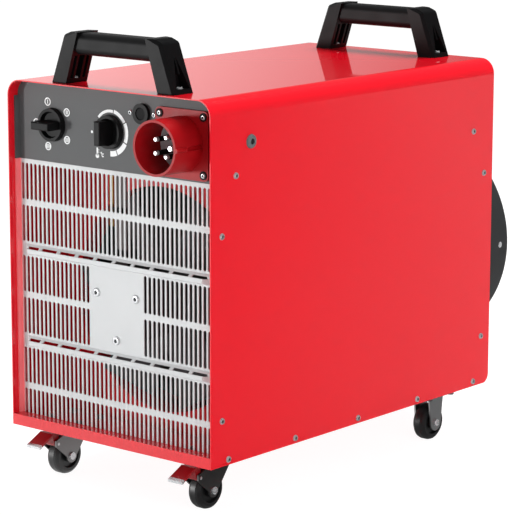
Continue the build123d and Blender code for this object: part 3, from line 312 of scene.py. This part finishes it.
# ---- mesh helpers --------------------------------------------------------------------------
def piece(name, bm, finishes, body="heater", smooth=None):
    """Turns a bmesh into a piece that rides on a body; its place is in the mesh.

    Edges flatter than smooth degrees are shaded smooth."""
    bmesh.ops.remove_doubles(bm, verts=bm.verts, dist=MERGE)
    bmesh.ops.recalc_face_normals(bm, faces=bm.faces)
    mesh = bpy.data.meshes.new(name)
    bm.to_mesh(mesh)
    bm.free()
    made = bpy.data.objects.new(name, mesh)
    bpy.context.scene.collection.objects.link(made)
    for each in finishes:
        mesh.materials.append(finish(each))
    if smooth is not None:
        mesh.shade_smooth()
        mesh.set_sharp_from_angle(angle=math.radians(smooth))
    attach(made, body)
    return made


def facing_front(x, y, z):
    """Places a form whose +Z is outwards at the front of the heater."""
    return Matrix.Translation((x, y, z)) @ Matrix.Rotation(math.radians(90), 4, "X")


def facing_side(x, y, z, side):
    """Places a form whose +Z is outwards on the right (1) or left (-1) of the heater."""
    return Matrix.Translation((x, y, z)) @ Matrix.Rotation(math.radians(90 * side), 4, "Y")


def aimed(spot, target):
    """Stands at spot with its -Z towards the target, as a lamp or camera does."""
    spot, target = Vector(spot), Vector(target)
    turn = (target - spot).to_track_quat("-Z", "Y").to_matrix().to_4x4()
    return Matrix.Translation(spot) @ turn


def node_mesh(node):
    """A copy of a frame node's mesh, with its loose triangles merged."""
    bm = bmesh.new()
    bm.from_mesh(frame["nodes"][node].data)
    bmesh.ops.remove_doubles(bm, verts=bm.verts, dist=MERGE)
    return bm


def join_into(target, source, matrix):
    """Copies one small bmesh into a larger one, moved by the matrix."""
    scratch = bpy.data.meshes.new("scratch")
    source.to_mesh(scratch)
    scratch.transform(matrix)
    target.from_mesh(scratch)
    bpy.data.meshes.remove(scratch)


def solid_boxes(node):
    """Lowest and highest corner of each separate solid in a frame node."""
    bm = node_mesh(node)
    left, found = set(bm.verts), []
    while left:
        corners, edge = [], [left.pop()]
        while edge:
            vert = edge.pop()
            corners.append(vert.co)
            for other in [link.other_vert(vert) for link in vert.link_edges]:
                if other in left:
                    left.discard(other)
                    edge.append(other)
        found.append((Vector([min(c[i] for c in corners) for i in range(3)]),
                      Vector([max(c[i] for c in corners) for i in range(3)])))
    bm.free()
    return found


def grown(result, kind):
    """The vertices or faces that an extrusion made."""
    return [g for g in result["geom"] if isinstance(g, kind)]


HEAD_SIDES = 24
SHOULDER_STEPS = 5
SHOULDER_END = 80          # degrees of a quarter turn that the shoulder rounds through
FLAT_SHARE = 0.62          # of the radius, left flat by a shoulder of a full quarter turn
SOCKET_DEPTH = 0.55        # share of the head's height
LEAST_RIM = 0.01 * MM      # round the socket of a head that is made very small


def screw_form(radius, height, socket):
    """Raised pan head on z = 0: a rounded shoulder, and a round socket about socket in radius."""
    bm = bmesh.new()
    bmesh.ops.create_circle(bm, cap_ends=True, radius=radius, segments=HEAD_SIDES)
    top = bm.faces[:]
    bm.normal_update()
    for i in range(1, SHOULDER_STEPS + 1):
        angle = i / SHOULDER_STEPS * math.radians(SHOULDER_END)
        z = height * math.sin(angle)
        ring = radius * (FLAT_SHARE + (1 - FLAT_SHARE) * math.cos(angle))
        made = bmesh.ops.extrude_face_region(bm, geom=top)
        for vert in grown(made, bmesh.types.BMVert):
            flat = Vector((vert.co.x, vert.co.y, 0)).normalized() * ring
            vert.co = Vector((flat.x, flat.y, z))
        bmesh.ops.delete(bm, geom=[f for f in top if f.is_valid], context="FACES_ONLY")
        top = grown(made, bmesh.types.BMFace)
    rim = max(LEAST_RIM, radius * FLAT_SHARE - socket)
    bmesh.ops.inset_region(bm, faces=top, thickness=rim, depth=0.0)
    made = bmesh.ops.extrude_face_region(bm, geom=top)
    bmesh.ops.translate(bm, verts=grown(made, bmesh.types.BMVert),
                        vec=(0, 0, -height * SOCKET_DEPTH))
    bmesh.ops.delete(bm, geom=[f for f in top if f.is_valid], context="FACES_ONLY")
    # The socket's walls and bottom take the second material, the painted socket shade.
    for face in grown(made, bmesh.types.BMFace):
        face.material_index = 1
    return bm


# ---- panel properties ----------------------------------------------------------------------
class HeaterColours(bpy.types.PropertyGroup):
    case_red: bpy.props.StringProperty(
        name="Case red", description="sRGB hex of the enamelled case", default="DC041B")
    panel_grey: bpy.props.StringProperty(
        name="Panel grey", description="sRGB hex of the control panel", default="505152")
    grille_silver: bpy.props.StringProperty(
        name="Grille silver", description="sRGB hex of the intake grille", default="C6C8C9")
    collar_grey: bpy.props.StringProperty(
        name="Collar grey", description="sRGB hex of the outlet collar", default="2E2F30")
    handle_black: bpy.props.StringProperty(
        name="Handle black", description="sRGB hex of handles and knobs", default="0E0E0F")
    inlet_red: bpy.props.StringProperty(
        name="Inlet red", description="sRGB hex of the mains inlet", default="960A11")


class HeaterSizes(bpy.types.PropertyGroup):
    screw_radius: bpy.props.FloatProperty(
        name="Screw head radius", description="Radius of the case screw heads",
        default=4.3 * MM, unit="LENGTH")
    mark_radius: bpy.props.FloatProperty(
        name="Mark radius", description="Distance of the printed marks from the knob",
        default=30.5 * MM, unit="LENGTH")
    mark_size: bpy.props.FloatProperty(
        name="Mark size", description="Radius of one circled mark",
        default=5.4 * MM, unit="LENGTH")
    line_width: bpy.props.FloatProperty(
        name="Line width", description="Width of the printed lines",
        default=1.45 * MM, unit="LENGTH")


# ---- the object's pieces -------------------------------------------------------------------
class HEATER_OT_finishes(bpy.types.Operator):
    """Gives every part of the frame its finish"""
    bl_idname = "heater.finishes"
    bl_label = "Apply finishes"

    def execute(self, context):
        for name, node in frame["nodes"].items():
            node.data.materials.clear()
            node.data.materials.append(finish(node_finish(name)))
        return {"FINISHED"}


SHELL_HEAD = (2.4 * MM, 1.9 * MM)    # height and socket radius; the radius is in the panel

# Radius, height and socket radius of the other screw heads.
SCREW_HEADS = {
    "lock_screws": (9.2 * MM, 3.0 * MM, 3.2 * MM),
    "motor_screws": (6.0 * MM, 2.4 * MM, 2.4 * MM),
    "inlet_screws": (3.4 * MM, 2.4 * MM, 1.6 * MM),
    "reset_screws": (3.4 * MM, 2.4 * MM, 1.6 * MM),
    "handle_screws": (4.3 * MM, 2.4 * MM, 1.9 * MM),
}
SIDE_SCREWS = ("shell_screws", "lock_screws")
FRONT_SCREWS = ("motor_screws", "inlet_screws", "reset_screws")


class HEATER_OT_screws(bpy.types.Operator):
    """Replaces the plain screws with pan heads that have a driver socket"""
    bl_idname = "heater.screws"
    bl_label = "Screws"

    def execute(self, context):
        case_radius = context.scene.heater_sizes.screw_radius
        heads = {"shell_screws": (case_radius, *SHELL_HEAD), **SCREW_HEADS}
        for name, (radius, height, socket) in heads.items():
            bm = bmesh.new()
            form = screw_form(radius, height, socket)
            for low, high in solid_boxes(name):
                join_into(bm, form, self.seat(name, low, high, height))
            form.free()
            # Its second finish is the painted shade inside each socket.
            made = piece(name + "_heads", bm, [node_finish(name), "socket_shadow"],
                         smooth=40)
            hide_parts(name)
        return {"FINISHED"}

    def seat(self, name, low, high, height):
        """Places a head so that its top lies where the top of the frame's plain screw does."""
        middle = (low + high) / 2
        if name in SIDE_SCREWS:
            side = 1 if middle.x > 0 else -1
            x = (high.x if side > 0 else low.x) - side * height
            return facing_side(x, middle.y, middle.z, side)
        if name in FRONT_SCREWS:
            return facing_front(middle.x, low.y + height, middle.z)
        return Matrix.Translation((middle.x, middle.y, high.z - height))


WASHER_OUTER, WASHER_INNER, WASHER_THICKNESS = 5.4 * MM, 3.5 * MM, 1.3 * MM
BARE_PIN = 5 * MM          # the pin's bright end, in front of its sleeve
SLEEVE_WALL = 0.35 * MM
TUBE_SIDES = 28


class HEATER_OT_inlet(bpy.types.Operator):
    """Adds the inlet's black washers and the insulating sleeves of its pins"""
    bl_idname = "heater.inlet"
    bl_label = "Inlet details"

    def execute(self, context):
        radius, height, _ = SCREW_HEADS["inlet_screws"]
        low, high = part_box("inlet_screws")
        bm = bmesh.new()
        for x in (low.x + radius, high.x - radius):
            for z in (low.z + radius, high.z - radius):
                self.tube(bm, x, z, low.y + height, -WASHER_THICKNESS, WASHER_OUTER,
                          WASHER_INNER)
        piece("inlet_washers", bm, ["black_rubber_and_painted_hole_shade"], smooth=30)
        pins_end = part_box("inlet_insert")[0].y
        bm = bmesh.new()
        for low, high in solid_boxes("inlet_pins"):
            middle, radius = (low + high) / 2, (high.x - low.x) / 2
            start = low.y + BARE_PIN
            self.tube(bm, middle.x, middle.z, start, pins_end - start, radius + SLEEVE_WALL,
                      radius)
        piece("pin_sleeves", bm, ["black_rubber_and_painted_hole_shade"], smooth=30)
        return {"FINISHED"}

    def tube(self, bm, x, z, y, length, outer, inner):
        """A short round sleeve that runs along Y from y, open in the middle."""
        profile = [(outer, y), (outer, y + length), (inner, y + length), (inner, y)]
        verts = [bm.verts.new((x + r, at, z)) for r, at in profile]
        edges = [bm.edges.new((verts[i], verts[(i + 1) % 4])) for i in range(4)]
        bmesh.ops.spin(bm, geom=[*verts, *edges], cent=(x, y, z), axis=(0, 1, 0),
                       angle=math.tau, steps=TUBE_SIDES, use_merge=True)


LIP_REACH = 3.4 * MM       # how far the lip covers the pedal from its end
LIP_THICKNESS = 0.352 * MM


class HEATER_OT_pedal_lips(bpy.types.Operator):
    """Folds a bright steel lip round the end of each brake pedal"""
    bl_idname = "heater.pedal_lips"
    bl_label = "Pedal lips"

    def execute(self, context):
        for side in ("left", "right"):
            pedal = "brake_pedal_" + side
            bm = node_mesh(pedal)
            cut = bmesh.ops.bisect_plane(bm, geom=[*bm.verts, *bm.edges, *bm.faces],
                                         plane_co=(0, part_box(pedal)[0].y + LIP_REACH, 0),
                                         plane_no=(0, 1, 0), clear_outer=True)["geom_cut"]
            rim = [g for g in cut if isinstance(g, bmesh.types.BMEdge)]
            bmesh.ops.holes_fill(bm, edges=rim)
            bmesh.ops.recalc_face_normals(bm, faces=bm.faces)
            bm.normal_update()
            for vert in bm.verts:
                vert.co += vert.normal * LIP_THICKNESS
                vert.co.y = max(vert.co.y, CAD_BOX[0].y)
            piece("pedal_lip_" + side, bm, ["bright_steel"],
                  body="brake_" + side)
        return {"FINISHED"}


# All angles of the printing are in degrees, anticlockwise from the right.
SELECTOR_MARKS = (180, 108, 36, -36, -108)

# Scale round the thermostat, in widening segments: first and last angle, outer radius in mm.
SCALE_INNER = 24.7
SCALE = ((80, 141, 28.3), (30, 77, 29.4), (-25, 27, 30.6), (-66, -28, 31.4), (-91, -69, 31.6))

# Signs beside the scale, in mm from the thermostat's middle. Arcs: right, up, inner and outer
# radius, first and last angle. Bars: right, up, width and height.
SIGN_ARCS = (
    (-32.5, -3.0, 0.0, 1.8, 0, 360),      # dot at the knob's rest
    (-23.3, -33.0, 0.0, 3.0, 0, 360),     # thermometer's bulb
    (-16.4, -28.6, 0.5, 1.2, 0, 360),     # degree ring
    (-13.4, -31.4, 1.3, 2.4, 50, 310),    # letter C
)
SIGN_BARS = (
    (-23.3, -27.4, 2.6, 10.0),            # thermometer's tube
    (-20.6, -25.2, 1.6, 0.9),             # its ticks
    (-20.6, -28.0, 1.6, 0.9),
)
OFF_DOT = 1.6 * MM
STROKE_WIDTH, STROKE_HEIGHT, STROKE_STEP = 1.3 * MM, 5.4 * MM, 2.1 * MM
INK_SHARE = 0.8            # of the lift that the ink fills
DISC_MIDDLE = 1e-6         # inner radius of a full disc, which then merges to one vertex
DEGREES_PER_FACE, LEAST_FACES = 9, 3


class HEATER_OT_marks(bpy.types.Operator):
    """Prints the dial marks round both knobs"""
    bl_idname = "heater.marks"
    bl_label = "Printed marks"

    def execute(self, context):
        sizes = context.scene.heater_sizes
        bm = bmesh.new()
        middle = self.knob_middle("selector_knob")
        for strokes, angle in enumerate(SELECTOR_MARKS):
            x = middle.x + sizes.mark_radius * math.cos(math.radians(angle))
            z = middle.z + sizes.mark_radius * math.sin(math.radians(angle))
            self.band(bm, x, z, sizes.mark_size - sizes.line_width, sizes.mark_size)
            self.symbol(bm, strokes, x, z)
        middle = self.knob_middle("thermostat_knob")
        for start, end, outer in SCALE:
            self.band(bm, middle.x, middle.z, SCALE_INNER * MM, outer * MM, start, end)
        for right, up, inner, outer, start, end in SIGN_ARCS:
            self.band(bm, middle.x + right * MM, middle.z + up * MM, inner * MM, outer * MM,
                      start, end)
        for right, up, width, height in SIGN_BARS:
            self.bar(bm, middle.x + right * MM, middle.z + up * MM, width * MM, height * MM)
        made = piece("dial_marks", bm, ["white_print"])
        ink = made.modifiers.new("ink", "SOLIDIFY")
        ink.thickness = PRINT_LIFT * INK_SHARE
        ink.offset = -1
        return {"FINISHED"}

    def knob_middle(self, node):
        low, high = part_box(node)
        return (low + high) / 2

    def band(self, bm, x, z, inner, outer, start=0, end=360):
        """Part of a flat ring in the panel's plane, spun from one edge."""
        turn, span = math.radians(start), math.radians(end - start)
        verts = [bm.verts.new((x + r * math.cos(turn), PRINT_Y, z + r * math.sin(turn)))
                 for r in (max(inner, DISC_MIDDLE), outer)]
        line = bm.edges.new(verts)
        steps = max(LEAST_FACES, int((end - start) / DEGREES_PER_FACE))
        bmesh.ops.spin(bm, geom=[*verts, line], cent=(x, PRINT_Y, z), axis=(0, -1, 0),
                       angle=span, steps=steps, use_merge=end - start == 360)

    def symbol(self, bm, strokes, x, z):
        """What stands in a mark's circle: a dot for off, otherwise one to four strokes."""
        if strokes == 0:
            self.band(bm, x, z, 0, OFF_DOT)
        for k in range(strokes):
            along = (k - (strokes - 1) / 2) * STROKE_STEP
            self.bar(bm, x + along, z, STROKE_WIDTH, STROKE_HEIGHT)

    def bar(self, bm, x, z, width, height):
        """A flat upright rectangle in the panel's plane."""
        made = bmesh.ops.create_grid(bm, x_segments=1, y_segments=1, size=0.5)
        bmesh.ops.scale(bm, verts=made["verts"], vec=(width, height, 1))
        bmesh.ops.transform(bm, verts=made["verts"], matrix=facing_front(x, PRINT_Y, z))


# ---- the studio ----------------------------------------------------------------------------
# The photograph's viewpoint, solved from the corners of the case.
CAMERA_SPOT = (2.1105, -2.5427, 0.9157)
CAMERA_TARGET = (-0.00156, -0.01655, 0.2718)
CAMERA_ROLL = 0.11         # degrees
CAMERA_LENS, CAMERA_SENSOR = 171.46, 36.0    # mm
CAMERA_REACH = 60          # m
FLOOR_REACH = 12.0         # m from the middle

# Place, diameter and power of each lamp, and whether reflections show it. The two large ones
# would lie on the glossy top and sides as hard white discs.
LAMPS = {
    "key": ((-2.2, -3.3, 0.25), 0.5, 66, True),
    "fill": ((2.8, -1.3, 1.4), 2.0, 32, False),
    "top": ((0.0, 1.2, 3.0), 2.0, 158, False),
    "low": ((2.1, -2.0, 0.12), 0.9, 5, True),
}
LAMP_TARGET = (0, 0, 0.3)

AWAY_FROM_CAMERA = (-1.17, 1.0, 0.0)    # along the floor
PAPER_COLOUR = "F4F4F4"
PAPER_GLOW = 1.18          # strength of the paper to the camera
GLOW_SHARE = 0.8           # of what the camera sees; the rest is lit paper, with the shadow
MATT_LIGHT = 0.42          # strength of the world to matt surfaces
WALL_BRIGHT, WALL_DARK = 0.82, 0.1


class HEATER_OT_stage(bpy.types.Operator):
    """Sets the floor, the lights and the camera"""
    bl_idname = "heater.stage"
    bl_label = "Studio"

    def execute(self, context):
        scene = context.scene
        bm = bmesh.new()
        bmesh.ops.create_grid(bm, x_segments=1, y_segments=1, size=FLOOR_REACH)
        mesh = bpy.data.meshes.new("floor")
        bm.to_mesh(mesh)
        bm.free()
        mesh.materials.append(self.paper())
        floor = bpy.data.objects.new("floor", mesh)
        scene.collection.objects.link(floor)
        scene.world = self.world()
        for name, (spot, size, power, mirrored) in LAMPS.items():
            light = bpy.data.lights.new(name, "AREA")
            light.shape, light.size, light.energy = "DISK", size, power
            lamp = self.place(name, light, aimed(spot, LAMP_TARGET))
            lamp.visible_glossy = mirrored
        eye = bpy.data.cameras.new("camera")
        eye.lens, eye.sensor_width, eye.clip_end = CAMERA_LENS, CAMERA_SENSOR, CAMERA_REACH
        roll = Matrix.Rotation(math.radians(CAMERA_ROLL), 4, "Z")
        scene.camera = self.place("camera", eye, aimed(CAMERA_SPOT, CAMERA_TARGET) @ roll)
        scene.view_settings.view_transform = "Standard"
        return {"FINISHED"}

    def place(self, name, data, matrix):
        """Puts a lamp or camera into the scene."""
        made = bpy.data.objects.new(name, data)
        bpy.context.scene.collection.objects.link(made)
        made.matrix_world = matrix
        return made

    def paper(self):
        """White studio paper: white to the camera but for the heater's shadow, matt to light.

        Reflections show a card that is dark before the heater and paler behind it, a bright
        sheet on its left and another near the camera. Their edges are in metres."""
        mat = bpy.data.materials.new("white_studio_paper")
        mat.use_nodes = True
        tree = mat.node_tree
        tree.nodes.clear()
        path = add_node(tree, "ShaderNodeLightPath")
        place = add_node(tree, "ShaderNodeTexCoord").outputs["Object"]
        away = add_node(tree, "ShaderNodeVectorMath",
                        {"operation": "DOT_PRODUCT", 1: AWAY_FROM_CAMERA}, {0: place})
        along = add_node(tree, "ShaderNodeSeparateXYZ", (), {"Vector": place})
        card = add_node(tree, "ShaderNodeMapRange",
                        {"From Min": -0.5, "From Max": 0.45, "To Min": 0.02, "To Max": 0.5},
                        {"Value": away.outputs["Value"]})
        left_sheet = add_node(tree, "ShaderNodeMapRange",
                              {"interpolation_type": "SMOOTHSTEP", "From Min": 0.3,
                               "From Max": -0.2, "To Min": 0.0, "To Max": 1.15},
                              {"Value": along.outputs["X"]})
        near_sheet = add_node(tree, "ShaderNodeMapRange",
                              {"From Min": -2.4, "From Max": -1.4, "To Min": 1.1,
                               "To Max": 0.0},
                              {"Value": away.outputs["Value"]})
        sheets = add_node(tree, "ShaderNodeMath", {"operation": "MAXIMUM"},
                          {0: left_sheet.outputs["Result"], 1: near_sheet.outputs["Result"]})
        brightest = add_node(tree, "ShaderNodeMath", {"operation": "MAXIMUM"},
                             {0: card.outputs["Result"], 1: sheets.outputs[0]})
        mirrored = add_node(tree, "ShaderNodeEmission", {"Color": WHITE},
                            {"Strength": brightest.outputs[0]})
        lit = add_node(tree, "ShaderNodeBsdfDiffuse", {"Color": linear(PAPER_COLOUR)})
        glow = add_node(tree, "ShaderNodeEmission", {"Color": WHITE, "Strength": PAPER_GLOW})
        share = add_node(tree, "ShaderNodeMath", {"operation": "MULTIPLY", 1: GLOW_SHARE},
                         {0: path.outputs["Is Camera Ray"]})
        seen = add_node(tree, "ShaderNodeMixShader", (),
                        {0: share.outputs[0], 1: lit.outputs[0], 2: glow.outputs[0]})
        both = add_node(tree, "ShaderNodeMixShader", (),
                        {0: path.outputs["Is Glossy Ray"], 1: seen.outputs[0],
                         2: mirrored.outputs[0]})
        add_node(tree, "ShaderNodeOutputMaterial", (), {"Surface": both.outputs[0]})
        return mat

    def world(self):
        """White to the camera and an even light to matt surfaces.

        Reflections show a bright wall on the far left and a dark room elsewhere. The wall's
        edge is where a direction's X lies between -0.7 and -0.56."""
        world = bpy.data.worlds.new("studio")
        world.use_nodes = True
        tree = world.node_tree
        tree.nodes.clear()
        path = add_node(tree, "ShaderNodeLightPath")
        way = add_node(tree, "ShaderNodeTexCoord").outputs["Generated"]
        along = add_node(tree, "ShaderNodeSeparateXYZ", (), {"Vector": way})
        wall = add_node(tree, "ShaderNodeMapRange",
                        {"From Min": -0.7, "From Max": -0.56, "To Min": WALL_BRIGHT,
                         "To Max": WALL_DARK},
                        {"Value": along.outputs["X"]})
        seen = add_node(tree, "ShaderNodeMapRange", {"To Min": MATT_LIGHT, "To Max": 1.0},
                        {"Value": path.outputs["Is Camera Ray"]})
        strength = add_node(tree, "ShaderNodeMix", {"data_type": "FLOAT"},
                            {FACTOR: path.outputs["Is Glossy Ray"],
                             NUMBER_A: seen.outputs["Result"], NUMBER_B: wall.outputs["Result"]})
        back = add_node(tree, "ShaderNodeBackground", {"Color": WHITE},
                        {"Strength": strength.outputs[0]})
        add_node(tree, "ShaderNodeOutputWorld", (), {"Surface": back.outputs[0]})
        return world


# ---- add-on --------------------------------------------------------------------------------
class HEATER_PT_panel(bpy.types.Panel):
    """Lists the heater's colours, sizes and pieces"""
    bl_idname = "HEATER_PT_panel"
    bl_label = "Forced air heater"
    bl_space_type = "VIEW_3D"
    bl_region_type = "UI"
    bl_category = "Heater"

    def draw(self, context):
        layout = self.layout
        for group in (context.scene.heater_colours, context.scene.heater_sizes):
            for name in group.__annotations__:
                layout.prop(group, name)
        for operator in OPERATORS:
            layout.operator(operator.bl_idname)


OPERATORS = (HEATER_OT_finishes, HEATER_OT_screws, HEATER_OT_inlet, HEATER_OT_pedal_lips,
             HEATER_OT_marks, HEATER_OT_stage)
CLASSES = (HeaterColours, HeaterSizes, *OPERATORS, HEATER_PT_panel)


def register():
    for each in CLASSES:
        bpy.utils.register_class(each)
    bpy.types.Scene.heater_colours = bpy.props.PointerProperty(type=HeaterColours)
    bpy.types.Scene.heater_sizes = bpy.props.PointerProperty(type=HeaterSizes)


def unregister():
    del bpy.types.Scene.heater_sizes
    del bpy.types.Scene.heater_colours
    for each in reversed(CLASSES):
        bpy.utils.unregister_class(each)


def main():
    register()
    bpy.ops.heater.finishes()
    bpy.ops.heater.screws()
    bpy.ops.heater.inlet()
    bpy.ops.heater.pedal_lips()
    bpy.ops.heater.marks()
    bpy.ops.heater.stage()


if __name__ == "__main__":
    main()
